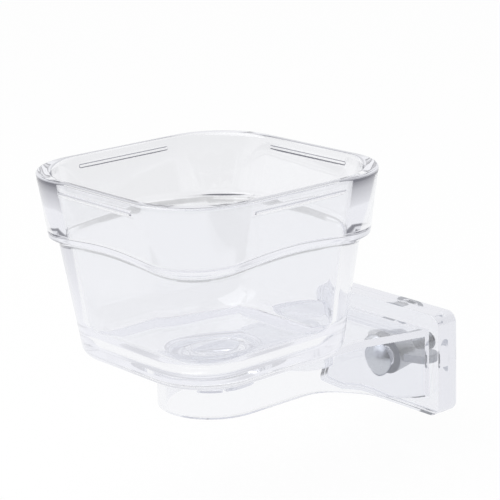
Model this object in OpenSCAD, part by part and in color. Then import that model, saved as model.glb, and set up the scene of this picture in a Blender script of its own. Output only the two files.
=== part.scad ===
// Clear square seed cup that twists into a bracket, which clamps to cage wires.
// Frame: origin in the middle of the flange face that meets the cage.
// +X points into the cage wall, away from the cup. +Z is up.

/* [Cup] */
// Width of the square rim, outside
rim_w = 90; // [60:0.5:140]
// Corner radius of the rim, outside
rim_corner_r = 22.9; // [8:0.1:35]
// Corner radius of the rim, inside
rim_inner_corner_r = 24.4; // [5:0.1:35]
// Width across the foot of the upper band
band_foot_w = 81.7; // [55:0.1:130]
// Corner radius at the foot of the upper band
band_foot_corner_r = 15.6; // [6:0.1:30]
// Corner radius inside, at the foot of the upper band
band_foot_inner_corner_r = 19; // [4:0.1:30]
// Height of the upper band, from the rim down to the ledge
band_h = 20.8; // [10:0.1:40]
// Height of the sloping ledge under the band
ledge_h = 1.5; // [0.5:0.1:6]
// Rise of the waved ledge, from the corners to the middle of each side
ledge_wave = 2.1; // [0:0.1:5]
// How much higher the ledge stands on the inside than on the outside
ledge_inner_rise = 1.4; // [0:0.1:3]
// Width across the body just under the ledge
body_top_w = 78.1; // [50:0.1:125]
// Corner radius just under the ledge
body_top_corner_r = 17.1; // [6:0.1:30]
// Corner radius inside, just under the ledge
body_top_inner_corner_r = 17; // [4:0.1:30]
// Width across the base
base_w = 70.7; // [45:0.1:120]
// Corner radius of the base
base_corner_r = 19.8; // [6:0.1:32]
// Corner radius inside, at the base
base_inner_corner_r = 17.5; // [5:0.1:30]
// Height of the cup, rim to underside
cup_h = 60.6; // [35:0.1:100]
// Thickness of the cup's wall
wall_t = 3; // [1.6:0.1:4]
// Thickness of the cup's floor
floor_t = 3; // [1.6:0.1:5]
// Rounding of the base's outside edge
base_edge_r = 3.1; // [0.5:0.1:6]
// Rounding where the inside wall meets the floor
floor_edge_r = 5.5; // [1:0.1:10]
// Rounding of the rim's edges
rim_edge_r = 0.9; // [0.3:0.1:1.4]

/* [Rim beads] */
// Length of each bead, end to end
bead_len = 37; // [15:0.5:45]
// Thickness of a bead
bead_d = 1.4; // [0.6:0.1:3]
// Distance from the rim down to a bead's middle
bead_drop = 4; // [2:0.1:10]

/* [Foot and twist lock] */
// Diameter of the round foot under the cup
foot_d = 28.4; // [18:0.1:40]
// Height of the foot, between the cup and the bracket
foot_h = 4.7; // [2:0.1:12]
// Diameter of the hub that turns in the bracket
hub_d = 20; // [12:0.1:30]
// Wall left round the hub's hollow core
hub_wall = 2.6; // [1.5:0.1:5]
// Diameter across the tips of the two lugs
lug_tip_d = 27; // [16:0.1:36]
// Thickness of a lug
lug_t = 2.2; // [1.2:0.1:4]
// Part of a turn that each lug covers, in degrees
lug_span = 50; // [25:1:70]
// Room between the lugs and the plate above them
lug_ease = 0.2; // [0.05:0.05:0.6]
// Radial room between the hub and its hole
hub_ease = 0.08; // [0.02:0.01:0.1]

/* [Bracket arm] */
// Distance from the cup's axis to the front of the flange
reach = 73.3; // [60:0.1:110]
// Width of the tongue
tongue_w = 36.9; // [30:0.1:60]
// Depth of the tongue, top to underside
tongue_h = 12.6; // [9:0.1:25]
// Thickness of the arm's top
arm_top_t = 2.8; // [1.8:0.1:5]
// Thickness of the arm's side walls
arm_wall_t = 2.6; // [1.5:0.1:5]
// Distance from the cup's axis to where the arm starts to widen
flare_start = 48.2; // [25:0.1:70]
// Width of the arm where it meets the flange
arm_root_w = 51.2; // [38:0.1:70]
// Distance from the cup's axis to where the skirt starts to deepen
skirt_start = 22; // [20:0.1:60]
// How much deeper the skirt is at the flange
skirt_drop = 11.2; // [0:0.1:14]

/* [Flange and clamp plate] */
// Width of both plates
plate_w = 60; // [40:0.1:90]
// Height of both plates
plate_h = 35.8; // [26:0.1:60]
// Corner radius of both plates
plate_corner_r = 4; // [1:0.1:10]
// Thickness of the flange
flange_t = 4.7; // [2.5:0.1:8]
// Thickness of the clamp plate
clamp_t = 4.2; // [2:0.1:8]

/* [Bolt and wing nut] */
// Distance from the middle of the plates down to the bolt's axis
bolt_drop = 3.4; // [0:0.1:6]
// Diameter of the bolt's shank
bolt_d = 6.35; // [4:0.05:10]
// Length of the bolt under its head
bolt_len = 31.75; // [20:0.05:50]
// Diameter of the domed head
head_d = 12.5; // [9:0.1:22]
// Height of the domed head
head_h = 3.5; // [2:0.1:6]
// Width of the square neck
neck_w = 6.4; // [4:0.1:10]
// Room between the neck and its square hole
neck_ease = 0.1; // [0.05:0.05:0.4]
// Chamfer at the bolt's tip
tip_chamfer = 0.8; // [0.2:0.1:1.5]
// Radial room round the shank
shank_ease = 0.08; // [0.02:0.01:0.1]
// Diameter of the nut's hub where it presses on the plate
nut_base_d = 13; // [9:0.1:20]
// Diameter of the nut's hub at its outer end
nut_end_d = 10.5; // [8:0.1:18]
// Height of the nut's hub
nut_h = 9; // [5:0.1:14]
// Span across the wings
wing_span = 31; // [20:0.5:44]
// Thickness of a wing
wing_t = 2.8; // [1.5:0.1:4]
// Diameter of a wing's round ear
ear_d = 8.5; // [5:0.1:12]
// How far the ears stand out past the hub's end
ear_rise = 4; // [0:0.1:8]

/* [Hidden] */
$fn = 96;

// Overrun that carries each cut past the face it opens
overrun = 1;
// Steps along each corner and each straight side of the cup, and along each rounded edge
corner_steps = 10;
side_steps = 8;
edge_steps = 4;
// Steps along the skirt's curve
skirt_steps = 14;

// Places along X and Z
cup_x = -(reach + flange_t);
arm_top_z = tongue_h;
base_z = arm_top_z + foot_h;
rim_z = base_z + cup_h;
band_foot_z = rim_z - band_h;
body_top_z = band_foot_z - ledge_h;
floor_z = base_z + floor_t;

// Levels of the cup's side: height, width, corner radius outside and corner radius inside
base_level = [base_z, base_w, base_corner_r, base_inner_corner_r];
body_top_level = [body_top_z, body_top_w, body_top_corner_r, body_top_inner_corner_r];
band_foot_level = [band_foot_z, band_foot_w, band_foot_corner_r, band_foot_inner_corner_r];
rim_level = [rim_z, rim_w, rim_corner_r, rim_inner_corner_r];

// The level at height z on the flat slope through two levels
function at_height(low, high, z) = low + (high - low) * (z - low[0]) / (high[0] - low[0]);
function on_body(z) = at_height(base_level, body_top_level, z);
function on_band(z) = at_height(band_foot_level, rim_level, z);

// Half width, corner radius and height of an outline, drawn in from the outside by inset
function outside(level, inset) = [level[1] / 2 - inset, level[2] - inset, level[0]];
function inside(level, inset) = [level[1] / 2 - inset, level[3] + wall_t - inset, level[0]];

// Height of the ledge's wave at a distance from the nearest corner's middle, where whole leads to a side's middle
function wave(distance, whole) = -ledge_wave / 2 * cos(180 * distance / whole);

// A point of an outline, a quarter of a turn for each corner and the side after it
function outline_point(outline, quarter, corner_share, side_share) =
  let (
    r = outline[1],
    c = outline[0] - r,
    a = 90 * (quarter + corner_share),
    side_x = quarter == 0 || quarter == 3 ? c : -c,
    side_y = quarter < 2 ? c : -c,
    run = 2 * c * side_share
  )
  [
    side_x + r * cos(a) - run * sin(90 * quarter + 90),
    side_y + r * sin(a) + run * cos(90 * quarter + 90),
    outline[2]
  ];

// Shares along a corner and along the side after it
corner_side_shares = concat(
  [for (step = [0:corner_steps]) [step / corner_steps, 0]],
  [for (step = [1:side_steps - 1]) [1, step / side_steps]]
);

// The outline of one kind of ring at height z, on the body's slope or on the band's, outside or inside
function ring_outline(kind, z, inset) =
  kind == "body outside" ? outside(on_body(z), inset) :
  kind == "band outside" ? outside(on_band(z), inset) :
  kind == "body inside" ? inside(on_body(z), inset) : inside(on_band(z), inset);

// A ring round the cup, which follows the ledge's wave if waved is 1
function cup_ring(kind, z, inset, waved) =
  let (
    flat = ring_outline(kind, z, inset),
    arc = flat[1] * PI / 4,
    c = flat[0] - flat[1]
  )
  [
    for (quarter = [0:3], shares = corner_side_shares)
      let (
        distance = abs(2 * shares[0] - 1) * arc + 2 * c * min(shares[1], 1 - shares[1]),
        lift = waved * wave(distance, c + arc)
      )
      outline_point(ring_outline(kind, z + lift, inset), quarter, shares[0], shares[1])
  ];

// Angles that divide a rounded edge into equal steps
edge_angles = [for (step = [0:edge_steps]) 90 * step / edge_steps];

base_edge = [
  for (a = edge_angles)
    cup_ring("body outside", base_z + base_edge_r * (1 - cos(a)), base_edge_r * (1 - sin(a)), 0)
];
outer_ledge = [cup_ring("body outside", body_top_z, 0, 1), cup_ring("band outside", band_foot_z, 0, 1)];
rim_outer_edge = [
  for (a = edge_angles)
    cup_ring("band outside", rim_z - rim_edge_r * (1 - sin(a)), rim_edge_r * (1 - cos(a)), 0)
];
rim_inner_edge = [
  for (a = edge_angles)
    cup_ring("band inside", rim_z - rim_edge_r * (1 - cos(a)), wall_t - rim_edge_r * (1 - sin(a)), 0)
];
inner_ledge = [
  cup_ring("band inside", band_foot_z + ledge_inner_rise, wall_t, 1),
  cup_ring("body inside", body_top_z + ledge_inner_rise, wall_t, 1)
];
floor_edge = [
  for (a = edge_angles)
    cup_ring("body inside", floor_z + floor_edge_r * (1 - sin(a)), wall_t + floor_edge_r * (1 - cos(a)), 0)
];
cup_rings = concat(base_edge, outer_ledge, rim_outer_edge, rim_inner_edge, inner_ledge, floor_edge);

// A closed skin through a list of rings round Z, with a flat cap on the first and the last
module ring_skin(rings) {
  count = len(rings[0]);
  last = len(rings) - 1;
  side_faces = [
    for (i = [0:last - 1], j = [0:count - 1])
      let (
        a = i * count + j,
        b = i * count + (j + 1) % count,
        c = b + count,
        d = a + count
      )
      each [[a, d, c], [a, c, b]]
  ];
  first_middle = len(rings) * count;
  last_middle = first_middle + 1;
  caps = [
    for (j = [0:count - 1])
      let (next = (j + 1) % count)
      each [[j, next, first_middle], [last * count + next, last * count + j, last_middle]]
  ];
  middles = [[0, 0, rings[0][0][2]], [0, 0, rings[last][0][2]]];
  polyhedron(points = concat([for (ring = rings) each ring], middles), faces = concat(side_faces, caps));
}

// A stretch of a ring round Z, from one radius to another
module sector(inner_r, outer_r, h, middle, span) {
  rotate([0, 0, middle - span / 2])
    rotate_extrude(angle = span)
      translate([inner_r, 0])
        square([outer_r - inner_r, h]);
}

// One bead along the +X side, half sunk in the sloping wall under the rim
module rim_bead() {
  lean = atan2((rim_w - band_foot_w) / 2, band_h);
  r = bead_d / 2;
  middle = bead_len / 2 - r;
  translate([on_band(rim_z - bead_drop)[1] / 2, 0, rim_z - bead_drop])
    rotate([90, 0, 0])
      rotate([0, 0, -lean])
        rotate_extrude()
          polygon([
            [0, -bead_len / 2],
            for (a = [-60, -30, 0]) [r * cos(a), r * sin(a) - middle],
            for (a = [0, 30, 60]) [r * cos(a), r * sin(a) + middle],
            [0, bead_len / 2]
          ]);
}

// Bayonet lugs stand across the arm when the cup is locked
lug_angles = [90, 270];
lug_top_z = arm_top_z - arm_top_t - lug_ease;
hub_foot_z = lug_top_z - lug_t;

module cup_foot() {
  difference() {
    union() {
      translate([0, 0, arm_top_z])
        cylinder(d = foot_d, h = foot_h + floor_t / 2);
      translate([0, 0, hub_foot_z])
        cylinder(d = hub_d, h = arm_top_z - hub_foot_z);
      for (middle = lug_angles)
        translate([0, 0, hub_foot_z])
          sector(hub_d / 2 - hub_wall / 2, lug_tip_d / 2, lug_t, middle, lug_span);
    }
    translate([0, 0, hub_foot_z - overrun])
      cylinder(d = hub_d - 2 * hub_wall, h = base_z - hub_foot_z + overrun);
  }
}

module cup() {
  color([0.86, 0.88, 0.89, 0.35])
    translate([cup_x, 0, 0]) {
      ring_skin(cup_rings);
      for (side = [0:3])
        rotate([0, 0, 90 * side])
          rim_bead();
      cup_foot();
    }
}

// Outline of the arm seen from above, drawn in by inset
module arm_plan(inset) {
  tongue = tongue_w / 2 - inset;
  root = arm_root_w / 2 - inset;
  circle(r = tongue);
  polygon([[0, -tongue], [flare_start, -tongue], [reach, -root], [reach, root], [flare_start, tongue], [0, tongue]]);
}

// Height of the arm's underside, which sinks in a smooth curve toward the flange
function underside_z(x) =
  let (t = max(0, (x - skirt_start) / (reach - skirt_start)))
  -skirt_drop * t * t * (3 - 2 * t);

// Outline of the arm seen from the side
module arm_side() {
  polygon([
    [-tongue_w, arm_top_z],
    [-tongue_w, 0],
    for (step = [0:skirt_steps])
      let (x = skirt_start + (reach - skirt_start) * step / skirt_steps)
      [x, underside_z(x)],
    [reach, arm_top_z]
  ]);
}

module arm_shell() {
  difference() {
    intersection() {
      translate([0, 0, -skirt_drop])
        linear_extrude(skirt_drop + arm_top_z)
          arm_plan(0);
      rotate([90, 0, 0])
        linear_extrude(arm_root_w, center = true)
          arm_side();
    }
    translate([0, 0, -skirt_drop - overrun])
      linear_extrude(skirt_drop + overrun + arm_top_z - arm_top_t)
        arm_plan(arm_wall_t);
  }
}

// Turn from locked to free, in degrees
twist_turn = 90;

// Hole that the hub turns in, with a notch for each lug, along the arm
notch_ease_span = 1.5;
module keyhole() {
  z = arm_top_z - arm_top_t - overrun;
  h = arm_top_t + 2 * overrun;
  translate([0, 0, z])
    cylinder(r = hub_d / 2 + hub_ease, h = h);
  for (middle = lug_angles)
    translate([0, 0, z])
      sector(hub_d / 2 - hub_wall, lug_tip_d / 2 + lug_ease, h, middle + twist_turn, lug_span + 2 * notch_ease_span);
}

// Stops under the arm's top that end the twist both ways
stop_ease_span = 3;
module twist_stops() {
  span = twist_turn - lug_span - 2 * stop_ease_span;
  for (middle = lug_angles)
    translate([0, 0, hub_foot_z])
      sector(hub_d / 2 + lug_ease, lug_tip_d / 2, lug_t + lug_ease + arm_top_t / 2, middle - twist_turn / 2, span);
}

// A plate that stands across X, with rounded corners
module plate(t) {
  c_y = plate_w / 2 - plate_corner_r;
  c_z = plate_h / 2 - plate_corner_r;
  rotate([90, 0, 90])
    linear_extrude(t) {
      square([plate_w, 2 * c_z], center = true);
      square([2 * c_y, plate_h], center = true);
      for (y = [-c_y, c_y], z = [-c_z, c_z])
        translate([y, z])
          circle(r = plate_corner_r);
    }
}

module bracket() {
  neck_hole_w = neck_w + 2 * neck_ease;
  color([0.86, 0.88, 0.89, 0.35])
    difference() {
      union() {
        translate([cup_x, 0, 0]) {
          difference() {
            arm_shell();
            keyhole();
          }
          twist_stops();
        }
        translate([-flange_t, 0, 0])
          plate(flange_t);
      }
      translate([-flange_t / 2, 0, -bolt_drop])
        cube([flange_t + 2 * overrun, neck_hole_w, neck_hole_w], center = true);
    }
}

module clamp_plate() {
  color([0.86, 0.88, 0.89, 0.35])
    difference() {
      plate(clamp_t);
      translate([-overrun, 0, -bolt_drop])
        rotate([0, 90, 0])
          cylinder(r = bolt_d / 2 + shank_ease, h = clamp_t + 2 * overrun);
    }
}

// Sphere radius whose cap has the head's diameter and height
dome_r = (head_d * head_d / 4 + head_h * head_h) / (2 * head_h);

module carriage_bolt() {
  color([0.62, 0.63, 0.65])
    translate([-flange_t, 0, -bolt_drop]) {
      intersection() {
        translate([dome_r - head_h, 0, 0])
          sphere(r = dome_r);
        rotate([0, -90, 0])
          cylinder(d = head_d, h = head_h);
      }
      translate([flange_t / 2, 0, 0])
        cube([flange_t, neck_w, neck_w], center = true);
      rotate([0, 90, 0]) {
        cylinder(d = bolt_d, h = bolt_len - tip_chamfer);
        translate([0, 0, bolt_len - tip_chamfer])
          cylinder(d1 = bolt_d, d2 = bolt_d - 2 * tip_chamfer, h = tip_chamfer);
      }
    }
}

// One wing of the nut, toward +Y
module nut_wing() {
  ear_y = (wing_span - ear_d) / 2;
  ear_x = nut_h + ear_rise - ear_d / 2;
  root_d = nut_end_d / 2;
  translate([0, 0, -wing_t / 2])
    linear_extrude(wing_t)
      hull() {
        translate([ear_x, ear_y])
          circle(d = ear_d, $fn = 32);
        translate([root_d / 2, 0])
          circle(d = root_d, $fn = 32);
        translate([nut_h - root_d / 2, 0])
          circle(d = root_d, $fn = 32);
      }
}

module wing_nut() {
  color([0.62, 0.63, 0.65])
    translate([clamp_t, 0, -bolt_drop])
      difference() {
        union() {
          rotate([0, 90, 0])
            cylinder(d1 = nut_base_d, d2 = nut_end_d, h = nut_h);
          nut_wing();
          mirror([0, 1, 0])
            nut_wing();
        }
        translate([-overrun, 0, 0])
          rotate([0, 90, 0])
            cylinder(r = bolt_d / 2 + shank_ease, h = nut_h + ear_rise + 2 * overrun);
      }
}

cup();
bracket();
clamp_plate();
carriage_bolt();
wing_nut();
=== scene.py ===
"""Clear square seed cup on its twist-lock bracket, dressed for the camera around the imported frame."""

from math import atan2, cos, hypot, pi, radians, sin, tau

import bmesh
import bpy
from bpy.props import FloatProperty, FloatVectorProperty, PointerProperty
from mathutils import Matrix, Vector


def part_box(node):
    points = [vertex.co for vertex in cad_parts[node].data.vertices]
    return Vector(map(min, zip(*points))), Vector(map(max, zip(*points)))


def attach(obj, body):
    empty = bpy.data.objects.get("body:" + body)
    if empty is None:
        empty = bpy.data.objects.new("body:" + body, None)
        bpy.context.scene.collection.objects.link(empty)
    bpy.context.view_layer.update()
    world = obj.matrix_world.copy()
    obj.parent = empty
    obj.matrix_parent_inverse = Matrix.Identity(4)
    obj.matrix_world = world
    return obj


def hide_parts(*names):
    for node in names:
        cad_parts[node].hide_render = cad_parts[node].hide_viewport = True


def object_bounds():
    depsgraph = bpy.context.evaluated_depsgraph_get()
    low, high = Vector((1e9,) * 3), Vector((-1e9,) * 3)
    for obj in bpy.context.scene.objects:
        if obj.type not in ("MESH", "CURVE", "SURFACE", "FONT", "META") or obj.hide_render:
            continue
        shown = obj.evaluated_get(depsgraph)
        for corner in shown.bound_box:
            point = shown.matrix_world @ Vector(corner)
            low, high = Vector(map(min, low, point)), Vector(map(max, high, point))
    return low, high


bl_info = {
    "name": "Seed cup",
    "version": (1, 0, 0),
    "blender": (4, 5, 0),
    "location": "3D View > Sidebar > Seed cup",
    "description": "Dresses a clear seed cup, its bracket and its clamp, and sets the stage",
    "category": "Object",
}

MM = 0.001

# The frame comes first, because sizes and defaults are taken from it.
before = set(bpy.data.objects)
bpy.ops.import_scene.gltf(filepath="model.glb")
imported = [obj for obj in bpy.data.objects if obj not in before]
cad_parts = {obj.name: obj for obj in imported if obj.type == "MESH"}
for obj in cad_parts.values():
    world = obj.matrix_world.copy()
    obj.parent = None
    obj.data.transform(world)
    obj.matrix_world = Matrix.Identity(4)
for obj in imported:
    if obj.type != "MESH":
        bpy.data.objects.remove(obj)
CAD_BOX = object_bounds()
CUP_LOW, CUP_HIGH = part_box("cup")
CLAMP_FACE_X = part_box("clamp_plate")[0].x
BOLT_LOW, BOLT_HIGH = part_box("carriage_bolt")
NUT_LOW_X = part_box("wing_nut")[0].x

# Clear plastic stays this far from the plastic that it rests on, so that light crosses each face once.
SKIN_GAP = 0.03 * MM


# Sizes and colours that a user would change


def length(name, description, millimetres):
    return FloatProperty(name=name, description=description, default=millimetres * MM, unit="LENGTH")


def colour(name, description, tint):
    return FloatVectorProperty(
        name=name, description=description, subtype="COLOR", size=4, min=0, max=1, default=(*tint, 1)
    )


class CupSizes(bpy.types.PropertyGroup):
    rim_width: length("Rim width", "Width of the square rim", 90)
    rim_corner: length("Rim corner", "Corner radius of the rim", 22.9)
    rim_inner_corner: length("Rim inner corner", "Inner corner radius at the rim", 24.4)
    band_foot_width: length("Band foot width", "Width at the foot of the upper band", 81.7)
    band_foot_corner: length("Band foot corner", "Corner radius at the foot of the band", 15.6)
    band_foot_inner_corner: length("Band foot inner corner", "Inner corner at the foot of the band", 19)
    band_height: length("Band height", "Height of the upper band", 20.8)
    ledge_height: length("Ledge height", "Height of the ledge under the band", 1.5)
    ledge_wave: length("Ledge wave", "Rise of the ledge from a corner to a side's middle", 2.1)
    inner_ledge_lift: length("Inner ledge lift", "How far the inner ledge stands over the outer", 1.4)
    body_top_width: length("Body top width", "Width of the body under the ledge", 78.1)
    body_top_corner: length("Body top corner", "Corner radius under the ledge", 17.1)
    body_top_inner_corner: length("Body top inner corner", "Inner corner radius under the ledge", 17)
    base_width: length("Base width", "Width of the base", 70.7)
    base_corner: length("Base corner", "Corner radius of the base", 19.8)
    base_inner_corner: length("Base inner corner", "Inner corner radius at the base", 17.5)
    height: length("Cup height", "Height from the underside to the rim", 60.6)
    wall: length("Wall", "Thickness of the wall and the floor", 3)
    rim_edge: length("Rim edge", "Rounding of the rim", 1.15)
    base_edge: length("Base edge", "Rounding of the base", 3.1)
    floor_edge: length("Floor edge", "Rounding of the floor inside", 9.5)
    bead_length: length("Bead length", "Length of a rim bead", 37)
    bead_width: length("Bead width", "Thickness of a rim bead", 1.4)
    bead_drop: length("Bead drop", "Distance from the rim to a bead", 4)
    bead_sink: length("Bead sink", "How far a bead's middle lies inside the wall", 0.2)


class FootSizes(bpy.types.PropertyGroup):
    foot_radius: length("Foot radius", "Radius of the foot", 14.2)
    foot_height: length("Foot height", "Height of the foot", 4.7)
    hub_radius: length("Hub radius", "Radius of the hub", 10)
    hub_wall: length("Hub wall", "Wall of the hollow hub", 2.6)
    lug_radius: length("Lug radius", "Radius to a lug's tip", 13.5)
    lug_thickness: length("Lug", "Thickness of a lug", 2.2)
    lug_drop: length("Lug drop", "Distance from the foot down to a lug", 3)
    lug_span: FloatProperty(
        name="Lug span", description="Angle that a lug covers", default=radians(50), subtype="ANGLE"
    )


class MetalSizes(bpy.types.PropertyGroup):
    bolt_drop: length("Bolt drop", "Distance from the plates' middle down to the bolt", 3.4)
    head_radius: length("Head", "Radius of the bolt's head", 6.25)
    head_height: length("Dome", "Height of the domed head", 3.5)
    neck_width: length("Neck", "Width of the square neck", 6.4)
    shank_radius: length("Shank", "Radius of the shank", 3.175)
    thread_pitch: length("Pitch", "Pitch of the thread", 1.27)
    thread_depth: length("Depth", "Depth of the thread", 0.6)
    tip_chamfer: length("Tip", "Chamfer at the bolt's tip", 0.8)


class Finishes(bpy.types.PropertyGroup):
    clear_tint: colour("Clear tint", "Tint of the clear plastic", (0.925, 0.93, 0.95))
    clear_ior: FloatProperty(name="Index", description="Refractive index of the plastic", default=1.57)
    clear_polish: FloatProperty(name="Polish", description="Roughness of the polished faces", default=0.02)
    zinc_tint: colour("Zinc tint", "Colour of the plated steel", (0.54, 0.56, 0.6))
    zinc_polish: FloatProperty(name="Zinc polish", description="Roughness of the plating", default=0.28)


class StageSizes(bpy.types.PropertyGroup):
    floor_drop: length("Floor drop", "Distance from the part's lowest point to the floor", 14)
    floor_span: length("Floor span", "Width of the floor", 6000)
    room_grey: FloatProperty(
        name="Room grey", description="How dark the room in front of the part is", default=0.1
    )
    key_power: FloatProperty(
        name="Key", description="Power of the large soft lamp", default=8, unit="POWER"
    )


def settings():
    return bpy.context.scene


# Meshes

MERGE_DISTANCE = 0.001 * MM
FLAT_ANGLE = radians(1)

# Edges sharper than this angle are rounded, each with so many faces.
EDGE_ANGLE = radians(35)
EDGE_FACES = 3
# How strongly large faces decide the direction in which light leaves a shared point
FLAT_WEIGHT = 80


def link_piece(name, mesh):
    piece = bpy.data.objects.new(name, mesh)
    bpy.context.scene.collection.objects.link(piece)
    return piece


def close_mesh(mesh):
    """Merges doubles and turns every face outward."""
    work = bmesh.new()
    work.from_mesh(mesh)
    bmesh.ops.remove_doubles(work, verts=work.verts, dist=MERGE_DISTANCE)
    bmesh.ops.recalc_face_normals(work, faces=work.faces)
    work.to_mesh(mesh)
    work.free()


def shade_smooth(mesh):
    mesh.polygons.foreach_set("use_smooth", [True] * len(mesh.polygons))


def skin_of_rings(name, rings):
    """A closed mesh through rings of equal length, with a flat cap on the first and the last."""
    count = len(rings[0])
    faces = [list(range(count))[::-1], [len(rings) * count - count + j for j in range(count)]]
    for i in range(len(rings) - 1):
        for j in range(count):
            a, b = i * count + j, i * count + (j + 1) % count
            faces.append([a, b, b + count, a + count])
    mesh = bpy.data.meshes.new(name)
    mesh.from_pydata([point for ring in rings for point in ring], [], faces)
    close_mesh(mesh)
    shade_smooth(mesh)
    return mesh


def bake_modifiers(piece):
    """Turns the piece's modifiers into its plain mesh."""
    graph = bpy.context.evaluated_depsgraph_get()
    done = bpy.data.meshes.new_from_object(piece.evaluated_get(graph))
    piece.modifiers.clear()
    old = piece.data
    piece.data = done
    done.name = piece.name
    bpy.data.meshes.remove(old)


def round_edges(piece, width):
    """Rounds the moulded edges and bakes them in."""
    modifier = piece.modifiers.new("rounded edges", "BEVEL")
    modifier.width = width
    modifier.segments = EDGE_FACES
    modifier.limit_method = "ANGLE"
    modifier.angle_limit = EDGE_ANGLE
    modifier.miter_outer = "MITER_ARC"
    modifier.use_clamp_overlap = True
    modifier.harden_normals = False
    bake_modifiers(piece)
    shade_smooth(piece.data)


def flatten_light(piece):
    """Large flat faces keep flat light, so that their roundings don't bend what is seen through them."""
    modifier = piece.modifiers.new("weighted normals", "WEIGHTED_NORMAL")
    modifier.keep_sharp = True
    modifier.weight = FLAT_WEIGHT
    bake_modifiers(piece)


def mark_points(mesh, name, values):
    """Stores a value for each point, which a material reads."""
    mesh.attributes.new(name, "FLOAT", "POINT").data.foreach_set("value", values)


# Node trees


def add_node(tree, kind, inputs=None, **properties):
    """Adds a node. An input takes a value, or a link where it is given another node's socket."""
    node = tree.nodes.new(kind)
    for name, value in properties.items():
        setattr(node, name, value)
    for name, value in (inputs or {}).items():
        if isinstance(value, bpy.types.NodeSocket):
            tree.links.new(value, node.inputs[name])
        else:
            node.inputs[name].default_value = value
    return node


def calculate(tree, operation, *values):
    """The result of a Math node that is fed by values or sockets."""
    return add_node(tree, "ShaderNodeMath", dict(enumerate(values)), operation=operation).outputs[0]


def join_xyz(tree, x=0.0, y=0.0, z=0.0):
    return add_node(tree, "ShaderNodeCombineXYZ", {"X": x, "Y": y, "Z": z}).outputs[0]


def start_tree(name, kind, takes, gives):
    """A new tree with named inputs and outputs, and the sockets inside it that they stand for."""
    tree = bpy.data.node_groups.new(name, kind)
    for in_out, sockets in (("INPUT", takes), ("OUTPUT", gives)):
        for label, data in sockets.items():
            tree.interface.new_socket(label, in_out=in_out, socket_type="NodeSocket" + data)
    return tree, add_node(tree, "NodeGroupInput").outputs, add_node(tree, "NodeGroupOutput").inputs


def finish_tree(tree, made, material, end):
    """Ends a tree with smooth faces, real copies and the material."""
    smooth = add_node(tree, "GeometryNodeSetShadeSmooth", {"Geometry": made})
    real = add_node(tree, "GeometryNodeRealizeInstances", {"Geometry": smooth.outputs["Geometry"]})
    values = {"Geometry": real.outputs["Geometry"], "Material": material}
    paint = add_node(tree, "GeometryNodeSetMaterial", values)
    tree.links.new(paint.outputs["Geometry"], end["Geometry"])


def run_tree(piece, tree, values):
    """Runs a tree on a piece and bakes the result. Inputs are set by their sockets' identifiers."""
    modifier = piece.modifiers.new(tree.name, "NODES")
    modifier.node_group = tree
    sockets = [item for item in tree.interface.items_tree if item.in_out == "INPUT"]
    identifiers = {socket.name: socket.identifier for socket in sockets}
    for name, value in values.items():
        modifier[identifiers[name]] = value
    bake_modifiers(piece)
    close_mesh(piece.data)
    shade_smooth(piece.data)


# Cup

CUP_AXIS_X = (CUP_LOW.x + CUP_HIGH.x) / 2
# The height at which the foot stands on the bracket's tongue
TONGUE_TOP_Z = 12.6 * MM

# Steps along each corner and each side, and through each rounding
CORNER_STEPS, SIDE_STEPS = 24, 16
BEND_STEPS, BASE_STEPS, EDGE_STEPS = 5, 8, 10
SOFT_STEPS, FILLET_STEPS = 3, 4

# How far the ledge's bends reach along their neighbours. A bend that is tight outside is open inside.
OPEN_BEND, TIGHT_BEND = 1.2 * MM, 0.7 * MM
LONGEST_BEND_SHARE = 0.45

FOOT_SOFTNESS = 0.4 * MM
FOOT_FILLET = 0.9 * MM

# The rings that fill the floor inside and the hub's ceiling, as shares of their outlines
CAP_SHARES = (0.6, 0.2)
CEILING_SHARE = 0.5

BEAD_POINTS = 24


def along(a, b, share):
    return tuple(p + (q - p) * share for p, q in zip(a, b))


def at_height(low, high, z):
    """The level at height z on the straight slope through two levels."""
    return along(low, high, (z - low[3]) / (high[3] - low[3]))


def cup_levels(sizes, lift=0.0):
    """Levels of the cup's side: half width, outer and inner corner, height. lift raises the ledge."""
    base_z = TONGUE_TOP_Z + settings().seed_foot.foot_height
    rim_z = base_z + sizes.height
    foot_z = rim_z - sizes.band_height
    top_z = foot_z - sizes.ledge_height
    base = (sizes.base_width / 2, sizes.base_corner, sizes.base_inner_corner, base_z)
    top = (sizes.body_top_width / 2, sizes.body_top_corner, sizes.body_top_inner_corner, top_z)
    foot = (sizes.band_foot_width / 2, sizes.band_foot_corner, sizes.band_foot_inner_corner, foot_z)
    rim = (sizes.rim_width / 2, sizes.rim_corner, sizes.rim_inner_corner, rim_z)
    return [base, at_height(base, top, top_z + lift), at_height(foot, rim, foot_z + lift), rim]


def softened(levels, index, reach):
    """The levels with the bend at index rounded off, as far as reach along both neighbours."""
    before, bend, after = levels[index - 1], levels[index], levels[index + 1]

    def toward(other):
        gap = hypot(other[0] - bend[0], other[3] - bend[3])
        return along(bend, other, min(LONGEST_BEND_SHARE, reach / gap))

    start, end = toward(before), toward(after)
    curve = []
    for step in range(BEND_STEPS + 1):
        share = step / BEND_STEPS
        curve.append(along(along(start, bend, share), along(bend, end, share), share))
    return levels[:index] + curve + levels[index + 1 :]


def outside(level, inset=0.0):
    """The outer wall's outline at a level: half width, corner radius and height."""
    return (level[0] - inset, level[1] - inset, level[3])


def inside(level, inset):
    """The inner wall's outline at a level, where inset counts from the outside."""
    return (level[0] - inset, level[2] + settings().seed_cup.wall - inset, level[3])


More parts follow.
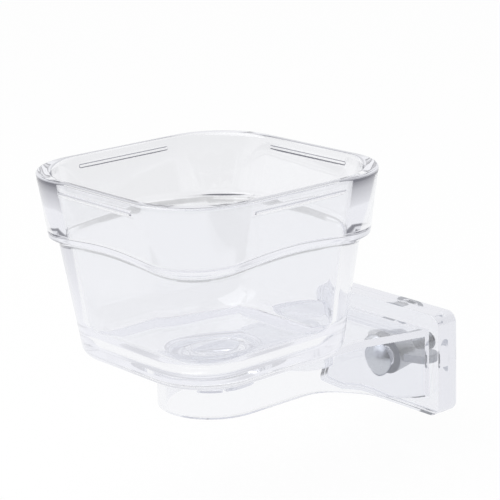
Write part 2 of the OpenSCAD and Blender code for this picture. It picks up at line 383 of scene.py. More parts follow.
def square_point(outline, quarter, corner_share, side_share):
    """A point of a rounded square, a quarter of a turn for each corner and the side after it."""
    half, corner, z = outline
    reach = half - corner
    a = (quarter + corner_share) * pi / 2
    side_x = reach if quarter in (0, 3) else -reach
    side_y = reach if quarter < 2 else -reach
    run = 2 * reach * side_share
    x = side_x + corner * cos(a) - sin(quarter * pi / 2 + pi / 2) * run
    y = side_y + corner * sin(a) + cos(quarter * pi / 2 + pi / 2) * run
    return Vector((CUP_AXIS_X + x, y, z))


def square_ring(station):
    """A rounded square round the cup's axis. station gives its outline for a lift of the ledge.

    The ledge waves: it stands highest at the middle of each side and lowest at the corners.
    """
    half, corner, _ = station(0.0)
    arc = corner * pi / 4
    whole = half - corner + arc
    wave = settings().seed_cup.ledge_wave / 2
    spots = [(step / CORNER_STEPS, 0) for step in range(CORNER_STEPS + 1)]
    spots += [(1, step / SIDE_STEPS) for step in range(1, SIDE_STEPS)]
    points = []
    for quarter in range(4):
        for corner_share, side_share in spots:
            corner_run = abs(corner_share - 0.5) * 2 * arc
            run = corner_run + 2 * (half - corner) * min(side_share, 1 - side_share)
            lift = -wave * cos(pi * run / whole)
            points.append(square_point(station(lift), quarter, corner_share, side_share))
    return points


def still(outline):
    """A station whose outline doesn't wave."""
    return lambda lift: outline


def quarter_turns(steps):
    return [pi / 2 * step / steps for step in range(steps + 1)]


def foot_rings(foot, guide):
    """Rings from the ceiling of the hollow hub, down and round the lugs, and up to the cup's underside.

    Each ring's points lie toward the points of the guide ring, so that the two join face to face.
    """
    angles = [atan2(point.y, point.x - CUP_AXIS_X) for point in guide]
    base_z = TONGUE_TOP_Z + foot.foot_height
    bore = foot.hub_radius - foot.hub_wall
    lug_top = TONGUE_TOP_Z - foot.lug_drop
    hub_foot = lug_top - foot.lug_thickness
    foot_z = TONGUE_TOP_Z + SKIN_GAP
    soft, fillet = FOOT_SOFTNESS, FOOT_FILLET

    def ring(radius, z, with_lugs=False):
        points = []
        for a in angles:
            on_lug = min(abs(a - pi / 2), abs(a + pi / 2)) < foot.lug_span / 2
            r = radius + (foot.lug_radius - foot.hub_radius if with_lugs and on_lug else 0)
            points.append(Vector((CUP_AXIS_X + r * cos(a), r * sin(a), z)))
        return points

    turns, fillet_turns = quarter_turns(SOFT_STEPS), quarter_turns(FILLET_STEPS)
    rings = [ring(bore * CEILING_SHARE, base_z)]
    rings += [ring(bore - soft * (1 - sin(a)), base_z - soft * (1 - cos(a))) for a in turns]
    rings += [ring(bore + soft * (1 - cos(a)), hub_foot + soft * (1 - sin(a))) for a in turns]
    for a in turns:
        rings.append(ring(foot.hub_radius - soft * (1 - sin(a)), hub_foot + soft * (1 - cos(a)), True))
    rings += [ring(foot.hub_radius, lug_top - soft, True), ring(foot.hub_radius - soft, lug_top, True)]
    rings += [ring(foot.hub_radius, lug_top), ring(foot.hub_radius, foot_z)]
    rings += [ring(foot.foot_radius - soft * (1 - sin(a)), foot_z + soft * (1 - cos(a))) for a in turns]
    rings += [
        ring(foot.foot_radius + fillet * (1 - cos(a)), base_z - fillet * (1 - sin(a))) for a in fillet_turns
    ]
    return rings


def cup_rings(sizes, foot):
    """Rings from the foot up the cup's outside, over the rim and down its inside to the floor."""
    base, top, band_foot, rim = cup_levels(sizes)
    wall, rim_edge = sizes.wall, sizes.rim_edge
    floor_z = base[3] + wall

    def outer_bend(index):
        def station(lift):
            levels = softened(cup_levels(sizes, lift), 2, TIGHT_BEND)
            return outside(softened(levels, 1, OPEN_BEND)[index])

        return station

    def inner_bend(index):
        def station(lift):
            levels = softened(cup_levels(sizes, sizes.inner_ledge_lift + lift), 2, OPEN_BEND)
            return inside(softened(levels, 1, TIGHT_BEND)[index], wall)

        return station

    def edge(low, high, side, z, inset):
        return square_ring(still(side(at_height(low, high, z), inset)))

    rings = foot_rings(foot, square_ring(still(outside(base, sizes.base_edge))))
    for a in quarter_turns(BASE_STEPS):
        z = base[3] + sizes.base_edge * (1 - cos(a))
        rings.append(edge(base, top, outside, z, sizes.base_edge * (1 - sin(a))))
    bends = range(1, 2 * (BEND_STEPS + 1) + 1)
    rings += [square_ring(outer_bend(index)) for index in bends]
    for side in (-1, 1):
        z = rim[3] - sizes.bead_drop + sizes.bead_width * side
        rings.append(edge(band_foot, rim, outside, z, 0.0))
    for a in quarter_turns(EDGE_STEPS):
        z = rim[3] - rim_edge * (1 - sin(a))
        rings.append(edge(band_foot, rim, outside, z, rim_edge * (1 - cos(a))))
    for a in quarter_turns(EDGE_STEPS):
        z = rim[3] - rim_edge * (1 - cos(a))
        rings.append(edge(band_foot, rim, inside, z, wall - rim_edge * (1 - sin(a))))
    rings += [square_ring(inner_bend(index)) for index in reversed(bends)]
    for a in quarter_turns(EDGE_STEPS):
        z = floor_z + sizes.floor_edge * (1 - sin(a))
        rings.append(edge(base, top, inside, z, wall + sizes.floor_edge * (1 - cos(a))))
    half, corner, z = inside(at_height(base, top, floor_z), wall + sizes.floor_edge)
    rings += [square_ring(still((half * share, corner * share, z))) for share in CAP_SHARES]
    return rings


def join_meshes(tree, first):
    """A node that fuses meshes into one, with the first linked. More are linked to its Mesh 2."""
    return add_node(tree, "GeometryNodeMeshBoolean", {"Mesh 2": first}, operation="UNION", solver="EXACT")


def bead_nodes():
    """Geometry Nodes that lay one bead along each side under the rim and fuse the beads with the cup."""
    names = ("Bead length", "Bead radius", "Side distance", "Bead height", "Axis place")
    takes = {"Geometry": "Geometry", "Material": "Material", "Sides": "Int"} | dict.fromkeys(names, "Float")
    tree, start, end = start_tree("rim_beads", "GeometryNodeTree", takes, {"Geometry": "Geometry"})
    radius = start["Bead radius"]
    straight = calculate(tree, "SUBTRACT", start["Bead length"], calculate(tree, "MULTIPLY", radius, 2.0))
    values = {"Vertices": BEAD_POINTS, "Radius": radius, "Depth": straight}
    rod = add_node(tree, "GeometryNodeMeshCylinder", values)
    values = {"Segments": BEAD_POINTS, "Rings": BEAD_POINTS // 2, "Radius": radius}
    ball = add_node(tree, "GeometryNodeMeshUVSphere", values)
    bead = join_meshes(tree, rod.outputs["Mesh"])
    for sign in (-0.5, 0.5):
        shift = join_xyz(tree, z=calculate(tree, "MULTIPLY", straight, sign))
        values = {"Geometry": ball.outputs["Mesh"], "Translation": shift}
        tip = add_node(tree, "GeometryNodeTransform", values)
        tree.links.new(tip.outputs["Geometry"], bead.inputs["Mesh 2"])
    values = {
        "Geometry": bead.outputs["Mesh"],
        "Rotation": (pi / 2, 0, 0),
        "Translation": join_xyz(tree, x=start["Side distance"], z=start["Bead height"]),
    }
    lay = add_node(tree, "GeometryNodeTransform", values)
    axis = join_xyz(tree, x=start["Axis place"])
    spots = add_node(tree, "GeometryNodePoints", {"Count": start["Sides"], "Position": axis})
    index = add_node(tree, "GeometryNodeInputIndex").outputs[0]
    turn = calculate(tree, "MULTIPLY", index, calculate(tree, "DIVIDE", tau, start["Sides"]))
    values = {
        "Points": spots.outputs[0],
        "Instance": lay.outputs["Geometry"],
        "Rotation": join_xyz(tree, z=turn),
    }
    copies = add_node(tree, "GeometryNodeInstanceOnPoints", values)
    real = add_node(tree, "GeometryNodeRealizeInstances", {"Geometry": copies.outputs["Instances"]})
    fuse = join_meshes(tree, start["Geometry"])
    tree.links.new(real.outputs["Geometry"], fuse.inputs["Mesh 2"])
    finish_tree(tree, fuse.outputs["Mesh"], start["Material"], end)
    return tree


def mark_heights(mesh, sizes):
    """Marks each point's height with the ledge's wave taken out, and the tight bend under the ledge, where
    the plastic's colour gets a painted shade.
    """
    base, top, _, _ = cup_levels(sizes)
    corner = sizes.band_foot_corner
    reach, arc = sizes.band_foot_width / 2 - corner, corner * pi / 4
    heights, bends = [], []
    for vertex in mesh.vertices:
        x, y, z = abs(vertex.co.x - CUP_AXIS_X), abs(vertex.co.y), vertex.co.z
        near, far = min(x, y), max(x, y)
        run, spread = arc + reach - near, far
        if near > reach:
            run = abs(pi / 4 - atan2(near - reach, far - reach)) * corner
            spread = reach + hypot(near - reach, far - reach)
        height = z + sizes.ledge_wave / 2 * cos(pi * min(1, run / (reach + arc)))
        outer = spread > at_height(base, top, z)[0] - sizes.wall / 2
        heights.append(height)
        # Points of the outer wall at the tight bend are marked for a painted shade in the plastic's colour.
        bends.append(1.0 if outer and BEND_LOW < height < BEND_HIGH else 0.0)
    mark_points(mesh, "still_height", heights)
    mark_points(mesh, "painted_bend_shade", bends)


class SEEDCUP_OT_cup(bpy.types.Operator):
    """Makes the clear cup with its rim beads, foot and lugs"""

    bl_idname = "seedcup.cup"
    bl_label = "Cup"

    def execute(self, context):
        sizes, foot = context.scene.seed_cup, context.scene.seed_foot
        _, _, band_foot, rim = cup_levels(sizes)
        bead_z = rim[3] - sizes.bead_drop
        cup = link_piece("clear_cup", skin_of_rings("clear_cup", cup_rings(sizes, foot)))
        cup.data.materials.append(clear_plastic())
        values = {
            "Bead length": sizes.bead_length,
            "Bead radius": sizes.bead_width / 2,
            "Side distance": at_height(band_foot, rim, bead_z)[0] - sizes.bead_sink,
            "Bead height": bead_z,
            "Axis place": CUP_AXIS_X,
            "Sides": 4,
            "Material": clear_plastic(),
        }
        run_tree(cup, bead_nodes(), values)
        flatten_light(cup)
        mark_heights(cup.data, sizes)
        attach(cup, "cup")
        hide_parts("cup")
        return {"FINISHED"}


# Bracket and clamp plate

BRACKET_ROUNDING, PLATE_ROUNDING, NUT_ROUNDING = 0.7 * MM, 0.8 * MM, 0.6 * MM


def merged_copy(name, node):
    """A copy of a CAD node's mesh, with its loose triangles joined into clean faces."""
    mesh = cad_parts[node].data.copy()
    mesh.name = name
    mesh.materials.clear()
    if mesh.has_custom_normals:
        mesh.attributes.remove(mesh.attributes["custom_normal"])
    work = bmesh.new()
    work.from_mesh(mesh)
    bmesh.ops.remove_doubles(work, verts=work.verts, dist=MERGE_DISTANCE)
    bmesh.ops.dissolve_limit(work, angle_limit=FLAT_ANGLE, verts=work.verts, edges=work.edges)
    bmesh.ops.recalc_face_normals(work, faces=work.faces)
    work.to_mesh(mesh)
    work.free()
    return link_piece(name, mesh)


class SEEDCUP_OT_bracket(bpy.types.Operator):
    """Makes the clear bracket arm with its flange"""

    bl_idname = "seedcup.bracket"
    bl_label = "Bracket"

    def execute(self, context):
        bracket = merged_copy("clear_bracket", "bracket")
        bracket.data.materials.append(clear_plastic())
        round_edges(bracket, BRACKET_ROUNDING)
        flatten_light(bracket)
        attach(bracket, "bracket")
        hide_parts("bracket")
        return {"FINISHED"}


class SEEDCUP_OT_clamp(bpy.types.Operator):
    """Makes the clear plate behind the cage wires"""

    bl_idname = "seedcup.clamp"
    bl_label = "Clamp plate"

    def execute(self, context):
        plate = merged_copy("clear_clamp_plate", "clamp_plate")
        plate.data.materials.append(clear_plastic())
        for vertex in plate.data.vertices:
            vertex.co.x = max(vertex.co.x, CLAMP_FACE_X + SKIN_GAP)
        round_edges(plate, PLATE_ROUNDING)
        flatten_light(plate)
        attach(plate, "clamp")
        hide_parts("clamp_plate")
        return {"FINISHED"}


# Bolt and wing nut

RING_POINTS = 48
STEPS_PER_TURN = 12
DOME_STEPS = 12
HEAD_STEPS = 4
HEAD_SOFTNESS = 0.35 * MM

# The neck's corners reach this many times its half width. It ends a little before the flange's face that
# meets the cage, which is at x = 0.
NECK_REACH = 1.34
NECK_END_X = -0.4 * MM
TIP_SHARE = 0.3

# The thread's start, the slope of its flanks, the share of it that is crest, and how deep the groove goes
THREAD_START_X = 1 * MM
FLANK_SLOPE, CREST_SHARE, GROOVE_SHARE = 2.3, 0.15, 0.93

# Edges sharper than these stay crisp in the light.
SHARP_BOLT, SHARP_NUT = radians(38), radians(50)

# Painted shade: the share by which the colour is darkened toward black on the neck and the shank, and on
# the whole nut
SHANK_PAINTED_SHADE, NUT_PAINTED_SHADE = 0.6, 0.35


def bolt_ring(metal, x, radius, square=0):
    """A ring round the bolt's axis: a circle, or a square with rounded corners."""
    ring = []
    for step in range(RING_POINTS):
        a = tau * step / RING_POINTS
        to_side = radius / max(abs(cos(a)), abs(sin(a)))
        r = radius + (min(to_side, radius * NECK_REACH) - radius) * square
        ring.append(Vector((x, r * cos(a), r * sin(a) - metal.bolt_drop)))
    return ring


def bolt_rings(metal):
    """Rings from the dome's top, over the head and the square neck, and along the shank to its tip."""
    face = BOLT_LOW.x + metal.head_height
    dome = (metal.head_radius**2 + metal.head_height**2) / (2 * metal.head_height)
    soft = HEAD_SOFTNESS
    lean = atan2(metal.head_radius - soft, dome - metal.head_height)
    rings = []
    for step in range(1, DOME_STEPS + 1):
        a = lean * step / DOME_STEPS
        rings.append(bolt_ring(metal, BOLT_LOW.x + dome * (1 - cos(a)), dome * sin(a)))
    for a in quarter_turns(HEAD_STEPS):
        rings.append(bolt_ring(metal, face - soft * (1 - sin(a)), metal.head_radius - soft * (1 - cos(a))))
    for x in (face, NECK_END_X):
        rings.append(bolt_ring(metal, x, metal.neck_width / 2, 1))
    rings.append(bolt_ring(metal, 0, metal.shank_radius))
    end = BOLT_HIGH.x - metal.tip_chamfer
    steps = round(end / metal.thread_pitch * STEPS_PER_TURN)
    rings += [bolt_ring(metal, end * step / steps, metal.shank_radius) for step in range(1, steps + 1)]
    rings.append(bolt_ring(metal, BOLT_HIGH.x, metal.shank_radius - metal.tip_chamfer))
    rings.append(bolt_ring(metal, BOLT_HIGH.x, metal.shank_radius * TIP_SHARE))
    return rings


def thread_nodes():
    """Geometry Nodes that roll a right-handed thread into the shank, by moving points toward the axis."""
    names = ("Pitch", "Depth", "Start", "End", "Shank radius", "Axis height")
    takes = {"Geometry": "Geometry", "Material": "Material"} | dict.fromkeys(names, "Float")
    tree, start, end = start_tree("rolled_thread", "GeometryNodeTree", takes, {"Geometry": "Geometry"})
    pitch = start["Pitch"]

    def do(operation, *values):
        return calculate(tree, operation, *values)

    place = add_node(tree, "GeometryNodeInputPosition").outputs[0]
    apart = add_node(tree, "ShaderNodeSeparateXYZ", {0: place}).outputs
    x, y = apart["X"], apart["Y"]
    z = do("SUBTRACT", apart["Z"], start["Axis height"])
    turn = do("DIVIDE", do("ARCTAN2", z, y), tau)
    flank = do("PINGPONG", do("SUBTRACT", do("DIVIDE", x, pitch), turn), 0.5)
    past_crest = do("SUBTRACT", do("MULTIPLY", flank, FLANK_SLOPE), CREST_SHARE)
    groove = do("MULTIPLY", do("MAXIMUM", past_crest, 0.0), GROOVE_SHARE)
    from_start = do("DIVIDE", do("SUBTRACT", x, start["Start"]), pitch)
    to_end = do("DIVIDE", do("SUBTRACT", start["End"], x), pitch)
    fade = do("MAXIMUM", do("MINIMUM", do("MINIMUM", from_start, to_end), 1.0), 0.0)
    cut = do("MULTIPLY", do("MULTIPLY", groove, fade), start["Depth"])
    scale = do("SUBTRACT", 1.0, do("DIVIDE", cut, start["Shank radius"]))
    height = do("ADD", do("MULTIPLY", z, scale), start["Axis height"])
    moved = join_xyz(tree, x, do("MULTIPLY", y, scale), height)
    move = add_node(tree, "GeometryNodeSetPosition", {"Geometry": start["Geometry"], "Position": moved})
    finish_tree(tree, move.outputs["Geometry"], start["Material"], end)
    return tree


def paint_shade_past(mesh, start_x, shade):
    """Marks the points past start_x with a painted shade: the share by which the material darkens their
    colour toward black.
    """
    mark_points(mesh, "painted_metal_shade", [shade if vertex.co.x > start_x else 0.0 for vertex in mesh.vertices])


def make_bolt(metal):
    bolt = link_piece("domed_carriage_bolt", skin_of_rings("domed_carriage_bolt", bolt_rings(metal)))
    bolt.data.materials.append(zinc_plate())
    values = {
        "Pitch": metal.thread_pitch,
        "Depth": metal.thread_depth,
        "Start": THREAD_START_X,
        "End": BOLT_HIGH.x - metal.tip_chamfer,
        "Shank radius": metal.shank_radius,
        "Axis height": -metal.bolt_drop,
        "Material": zinc_plate(),
    }
    run_tree(bolt, thread_nodes(), values)
    bolt.data.set_sharp_from_angle(angle=SHARP_BOLT)
    # Painted shade: the neck and the shank are darkened.
    paint_shade_past(bolt.data, BOLT_LOW.x + metal.head_height + SKIN_GAP, SHANK_PAINTED_SHADE)
    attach(bolt, "bracket")
    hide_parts("carriage_bolt")


def make_nut():
    nut = merged_copy("cast_wing_nut", "wing_nut")
    nut.data.materials.append(zinc_plate())
    round_edges(nut, NUT_ROUNDING)
    nut.data.set_sharp_from_angle(angle=SHARP_NUT)
    # Painted shade: the whole nut is darkened.
    paint_shade_past(nut.data, NUT_LOW_X - SKIN_GAP, NUT_PAINTED_SHADE)
    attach(nut, "nut")
    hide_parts("wing_nut")


class SEEDCUP_OT_metal(bpy.types.Operator):
    """Makes the carriage bolt with its rolled thread, and the wing nut"""

    bl_idname = "seedcup.metal"
    bl_label = "Bolt and wing nut"

    def execute(self, context):
        make_bolt(context.scene.seed_metal)
        make_nut()
        return {"FINISHED"}


# Materials

# Painted glow: light that is still inside the plastic after enough bouncing is replaced by an emission.
# Each row gives a height in millimetres, with the ledge's wave taken out, the tone of the painted glow
# there, and the bouncing after which it replaces the light.
# The glow is pale along the walls, like the floor, and a painted shade, dim like the room, at the ledge and
# the rim.
PAINTED_GLOW_ROWS = (
    (6, 0.82, 12.5),
    (12, 0.68, 9.5),
    (16.2, 0.68, 9.5),
    (17, 0.9, 12.5),
    (34, 0.86, 12.5),
    (53.5, 0.72, 12.5),
    (55.4, 0.2, 8.5),
    (56.4, 0.22, 8.5),
    (57.2, 0.85, 12.5),
    (64, 0.85, 12),
    (71.5, 0.5, 8),
    (75.4, 0.13, 5.5),
)
# What a reflection adds to the one step that every bounce counts, and the top of the scale
REFLECTION_COST, MOST_COST = 4, 20
# The bounces that the renderer follows, so that the painted glow replaces light before it is cut off
MOST_BOUNCES = 32

# The share of the plastic's tint that is kept at the tight bend under the ledge, a painted shade, and the
# heights between which it lies
BEND_PAINTED_SHADE = 0.55
BEND_LOW, BEND_HIGH = 55.2 * MM, 55.9 * MM

# The light that passes into the plastic's shadow
PLASTIC_SHADOW = (0.93, 0.93, 0.94, 1)
WHITE, BLACK = (1, 1, 1, 1), (0, 0, 0, 1)

# The grain's layers of noise
GRAIN_DETAIL = 3

# The floor paper's own colour, and how much of it shows as plain white
PAPER_COLOUR = (0.9, 0.9, 0.9, 1)
PAPER_GLOW = 0.96


def new_material(name):
    """A material with an empty tree, or the one that is made already, with no tree to fill."""
    material = bpy.data.materials.get(name)
    if material:
        return material, None
    material = bpy.data.materials.new(name)
    material.use_nodes = True
    material.node_tree.nodes.clear()
    return material, material.node_tree


def fine_grain():
    """A node group that varies roughness and height a little, as polishing and plating leave them."""
    group = bpy.data.node_groups.get("fine_grain")
    if group:
        return group
    takes = {"Vector": "Vector", "Scale": "Float", "Low": "Float", "High": "Float"}
    gives = {"Roughness": "Float", "Height": "Float"}
    group, start, end = start_tree("fine_grain", "ShaderNodeTree", takes, gives)
    values = {"Vector": start["Vector"], "Scale": start["Scale"], "Detail": GRAIN_DETAIL}
    noise = add_node(group, "ShaderNodeTexNoise", values)
    values = {"Value": noise.outputs["Fac"], "To Min": start["Low"], "To Max": start["High"]}
    spread = add_node(group, "ShaderNodeMapRange", values)
    group.links.new(spread.outputs["Result"], end["Roughness"])
    group.links.new(noise.outputs["Fac"], end["Height"])
    return group


def add_grain(tree, surface, scale, low, high, strength, depth):
    """Gives a surface its grain: roughness from low to high, and a bump."""
    place = add_node(tree, "ShaderNodeTexCoord").outputs["Object"]
    values = {"Vector": place, "Scale": scale, "Low": low, "High": high}
    grain = add_node(tree, "ShaderNodeGroup", values, node_tree=fine_grain())
    values = {"Strength": strength, "Distance": depth, "Height": grain.outputs["Height"]}
    bump = add_node(tree, "ShaderNodeBump", values)
    tree.links.new(grain.outputs["Roughness"], surface.inputs["Roughness"])
    tree.links.new(bump.outputs["Normal"], surface.inputs["Normal"])


def mark_mix(tree, mark, plain, marked):
    """The colour plain, or marked where the piece's points carry the mark."""
    factor = add_node(tree, "ShaderNodeAttribute", attribute_name=mark).outputs["Fac"]
    mix = add_node(tree, "ShaderNodeMix", {"Factor": factor, "A": plain, "B": marked}, data_type="RGBA")
    return mix.outputs["Result"]


def shader_mix(tree, factor, first, second):
    return add_node(tree, "ShaderNodeMixShader", {"Fac": factor, 1: first, 2: second}).outputs["Shader"]


def cool_grey(grey):
    return (grey, grey * 1.005, grey * 1.02 + 0.03, 1)


def painted_glow_tone(tree, light):
    """The painted glow's tone at each height, pale or a painted shade, and whether this light has bounced
    enough to be replaced by it.
    """
    cost = calculate(tree, "MULTIPLY_ADD", light["Glossy Depth"], REFLECTION_COST, light["Ray Depth"])
    height = add_node(tree, "ShaderNodeAttribute", attribute_name="still_height").outputs["Fac"]
    place = add_node(tree, "ShaderNodeMapRange", {"Value": height, "From Max": CUP_HIGH.z})
    tone = add_node(tree, "ShaderNodeValToRGB", {"Fac": place.outputs["Result"]})
    limit = add_node(tree, "ShaderNodeValToRGB", {"Fac": place.outputs["Result"]})
    for ramp in (tone, limit):
        while len(ramp.color_ramp.elements) < len(PAINTED_GLOW_ROWS):
            ramp.color_ramp.elements.new(0.5)
    for row, (level, grey, most) in enumerate(PAINTED_GLOW_ROWS):
        share = most / MOST_COST
        for ramp, value in ((tone, cool_grey(grey)), (limit, (share, share, share, 1))):
            stop = ramp.color_ramp.elements[row]
            stop.position = level * MM / CUP_HIGH.z
            stop.color = value
    cost_share = calculate(tree, "DIVIDE", cost, MOST_COST)
    late = calculate(tree, "GREATER_THAN", cost_share, limit.outputs["Color"])
    return tone.outputs["Color"], late


def clear_plastic():
    """Polished, clear, injection-moulded plastic. Its shadow is light, as most light passes through. Light
    that bounces long inside it is replaced by a painted glow, and the tight bend under the ledge has a
    painted shade in its colour.
    """
    material, tree = new_material("clear_moulded_plastic")
    if tree is None:
        return material
    finish = settings().seed_finish
    # Painted shade: the tint is darkened where the points mark the tight bend under the ledge.
    bend_shade_tint = (*(part * BEND_PAINTED_SHADE for part in finish.clear_tint[:3]), 1)
    values = {
        "Base Color": mark_mix(tree, "painted_bend_shade", finish.clear_tint, bend_shade_tint),
        "Transmission Weight": 1,
        "IOR": finish.clear_ior,
    }
    plastic = add_node(tree, "ShaderNodeBsdfPrincipled", values)
    polish = finish.clear_polish
    add_grain(
        tree, plastic, scale=90, low=polish * 0.6, high=polish * 1.6, strength=0.02, depth=0.4 * MM
    )
    light = add_node(tree, "ShaderNodeLightPath").outputs
    tone, late = painted_glow_tone(tree, light)
    # Painted glow: light that has bounced long inside the plastic is replaced by an emission, pale along
    # the walls and a painted shade at the ledge and the rim.
    glow = add_node(tree, "ShaderNodeEmission", {"Color": tone}).outputs["Emission"]
    shadow = add_node(tree, "ShaderNodeBsdfTransparent", {"Color": PLASTIC_SHADOW}).outputs["BSDF"]
    seen = shader_mix(tree, late, plastic.outputs["BSDF"], glow)
    both = shader_mix(tree, light["Is Shadow Ray"], seen, shadow)
    add_node(tree, "ShaderNodeOutputMaterial", {"Surface": both})
    return material


def zinc_plate():
    """Bright zinc plating on steel, with a painted shade that darkens the marked points toward black."""
    material, tree = new_material("bright_zinc_plate")
    if tree is None:
        return material
    finish = settings().seed_finish
    # Painted shade: the zinc colour is mixed toward black where the points carry the mark.
    tint = mark_mix(tree, "painted_metal_shade", finish.zinc_tint, BLACK)
    metal = add_node(tree, "ShaderNodeBsdfPrincipled", {"Base Color": tint, "Metallic": 1})
    polish = finish.zinc_polish
    add_grain(tree, metal, scale=700, low=polish * 0.8, high=polish * 1.3, strength=0.12, depth=0.1 * MM)
    add_node(tree, "ShaderNodeOutputMaterial", {"Surface": metal.outputs["BSDF"]})
    return material


def floor_paper():
    """White paper. It takes the part's shadow, and looks white straight on and through the part."""
    material, tree = new_material("white_floor_paper")
    if tree is None:
        return material
    paper = add_node(tree, "ShaderNodeBsdfDiffuse", {"Color": PAPER_COLOUR}).outputs["BSDF"]
    glow = add_node(tree, "ShaderNodeEmission", {"Color": WHITE}).outputs["Emission"]
    light = add_node(tree, "ShaderNodeLightPath").outputs
    through = calculate(tree, "MAXIMUM", light["Is Glossy Ray"], light["Is Transmission Ray"])
    seen = calculate(tree, "MAXIMUM", light["Is Camera Ray"], through)
    share = calculate(tree, "MULTIPLY", seen, PAPER_GLOW)
    add_node(tree, "ShaderNodeOutputMaterial", {"Surface": shader_mix(tree, share, paper, glow)})
    return material


# Stage

CAMERA_PLACE = Vector((-0.4518, -0.4584, 0.2153))
CAMERA_HEADING = radians(49.555)
CAMERA_DIP = radians(-15.609)
CAMERA_ROLL = radians(-1.638)
# The focal length as a share of the picture's width, both in pixels, and the sensor's width in millimetres
FOCAL_SHARE = 1931.4 / 500
SENSOR = 36.0
# The camera sees nothing nearer than this.
NEAREST = 10 * MM

# The sweep is white behind the part, turned a little to the left, and dim on the camera's side. It is dim
# until the first of these shares of the way round, and white from the second.
SWEEP_HEADING = CAMERA_HEADING + radians(26)
DIM_UNTIL, WHITE_FROM = 0.30, 0.62

# The room on the camera's side is this much bluer than grey.
ROOM_BLUE = 1.03

# The way from the part's middle to the soft lamp, and the lamp's width, in metres
LAMP_OFFSET = Vector((-0.5, 0.1, 0.8))
LAMP_WIDTH = 1.2


def aim_camera():
    data = bpy.data.cameras.new("photo_camera")
    camera = bpy.data.objects.new("photo_camera", data)
    bpy.context.scene.collection.objects.link(camera)
    level = Vector((cos(CAMERA_HEADING), sin(CAMERA_HEADING), 0))
    forward = level * cos(CAMERA_DIP) + Vector((0, 0, sin(CAMERA_DIP)))
    level_right = forward.cross(Vector((0, 0, 1))).normalized()
    level_up = level_right.cross(forward)
    right = level_right * cos(CAMERA_ROLL) + level_up * sin(CAMERA_ROLL)
    up = level_up * cos(CAMERA_ROLL) - level_right * sin(CAMERA_ROLL)
    turn = Matrix((right, up, -forward)).transposed().to_4x4()
    camera.matrix_world = Matrix.Translation(CAMERA_PLACE) @ turn
    data.sensor_width = SENSOR
    data.lens = FOCAL_SHARE * SENSOR
    data.clip_start = NEAREST
    bpy.context.scene.camera = camera


def light_world(grey):
    """An even studio: white to the camera and behind the part, and a grey room in front of it."""
    world = bpy.data.worlds.new("studio")
    bpy.context.scene.world = world
    world.use_nodes = True
    tree = world.node_tree
    tree.nodes.clear()
    place = add_node(tree, "ShaderNodeTexCoord").outputs["Generated"]
    back = Vector((cos(SWEEP_HEADING), sin(SWEEP_HEADING), 0))
    toward = add_node(tree, "ShaderNodeVectorMath", {0: place, 1: back}, operation="DOT_PRODUCT")
    spread = add_node(tree, "ShaderNodeMapRange", {"Value": toward.outputs["Value"], "From Min": -1})
    sweep = add_node(tree, "ShaderNodeValToRGB", {"Fac": spread.outputs["Result"]})
    sweep.color_ramp.interpolation = "EASE"
    dim, white = sweep.color_ramp.elements
    dim.position = DIM_UNTIL
    dim.color = (grey, grey, grey * ROOM_BLUE, 1)
    white.position = WHITE_FROM
    white.color = WHITE
    seen = add_node(tree, "ShaderNodeLightPath").outputs["Is Camera Ray"]
    values = {"Factor": seen, "A": sweep.outputs["Color"], "B": WHITE}
    mix = add_node(tree, "ShaderNodeMix", values, data_type="RGBA")
    sky = add_node(tree, "ShaderNodeBackground", {"Color": mix.outputs["Result"]})
    add_node(tree, "ShaderNodeOutputWorld", {"Surface": sky.outputs["Background"]})


def hang_lamp(target, power):
    data = bpy.data.lights.new("soft_key", "AREA")
    data.shape = "SQUARE"
    data.size = LAMP_WIDTH
    data.energy = power
    lamp = bpy.data.objects.new("soft_key", data)
    lamp.location = target + LAMP_OFFSET
    lamp.rotation_mode = "QUATERNION"
    lamp.rotation_quaternion = (-LAMP_OFFSET).to_track_quat("-Z", "Y")
    bpy.context.scene.collection.objects.link(lamp)


def lay_floor(stage):
    half, z = stage.floor_span / 2, CAD_BOX[0].z - stage.floor_drop
    corners = [(-half, -half, z), (half, -half, z), (half, half, z), (-half, half, z)]
    mesh = bpy.data.meshes.new("studio_floor")
    mesh.from_pydata(corners, [], [(0, 1, 2, 3)])
    mesh.materials.append(floor_paper())
    floor = link_piece("studio_floor", mesh)


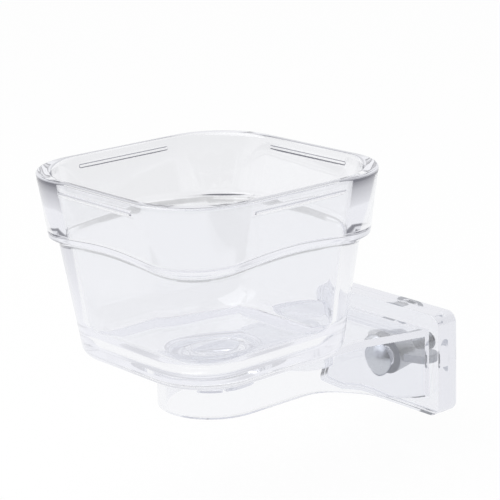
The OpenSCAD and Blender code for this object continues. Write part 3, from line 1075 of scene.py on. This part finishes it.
class SEEDCUP_OT_stage(bpy.types.Operator):
    """Makes the floor, the studio light and the camera"""

    bl_idname = "seedcup.stage"
    bl_label = "Stage"

    def execute(self, context):
        stage = context.scene.seed_stage
        aim_camera()
        light_world(stage.room_grey)
        hang_lamp((CAD_BOX[0] + CAD_BOX[1]) / 2, stage.key_power)
        lay_floor(stage)
        context.scene.view_settings.view_transform = "Standard"
        paths = context.scene.cycles
        paths.max_bounces = MOST_BOUNCES
        paths.transmission_bounces = MOST_BOUNCES
        paths.glossy_bounces = MOST_BOUNCES
        return {"FINISHED"}


# Panel and registration


class SEEDCUP_PT_panel(bpy.types.Panel):
    """Lists the steps that dress the seed cup, and their sizes"""

    bl_idname = "SEEDCUP_PT_panel"
    bl_label = "Seed cup"
    bl_space_type = "VIEW_3D"
    bl_region_type = "UI"
    bl_category = "Seed cup"

    def draw(self, context):
        for operator in OPERATORS:
            self.layout.operator(operator.bl_idname)
        for group, _ in GROUPS:
            values = getattr(context.scene, group)
            for prop in values.bl_rna.properties:
                if not prop.is_readonly and prop.identifier != "name":
                    self.layout.prop(values, prop.identifier)


OPERATORS = (SEEDCUP_OT_stage, SEEDCUP_OT_cup, SEEDCUP_OT_bracket, SEEDCUP_OT_clamp, SEEDCUP_OT_metal)
GROUPS = (
    ("seed_cup", CupSizes),
    ("seed_foot", FootSizes),
    ("seed_metal", MetalSizes),
    ("seed_finish", Finishes),
    ("seed_stage", StageSizes),
)
CLASSES = tuple(group for _, group in GROUPS) + OPERATORS + (SEEDCUP_PT_panel,)


def register():
    for cls in CLASSES:
        bpy.utils.register_class(cls)
    for name, group in GROUPS:
        setattr(bpy.types.Scene, name, PointerProperty(type=group))


def unregister():
    for name, _ in GROUPS:
        delattr(bpy.types.Scene, name)
    for cls in reversed(CLASSES):
        bpy.utils.unregister_class(cls)


def main():
    register()
    bpy.ops.seedcup.stage()
    bpy.ops.seedcup.cup()
    bpy.ops.seedcup.bracket()
    bpy.ops.seedcup.clamp()
    bpy.ops.seedcup.metal()


if __name__ == "__main__":
    main()
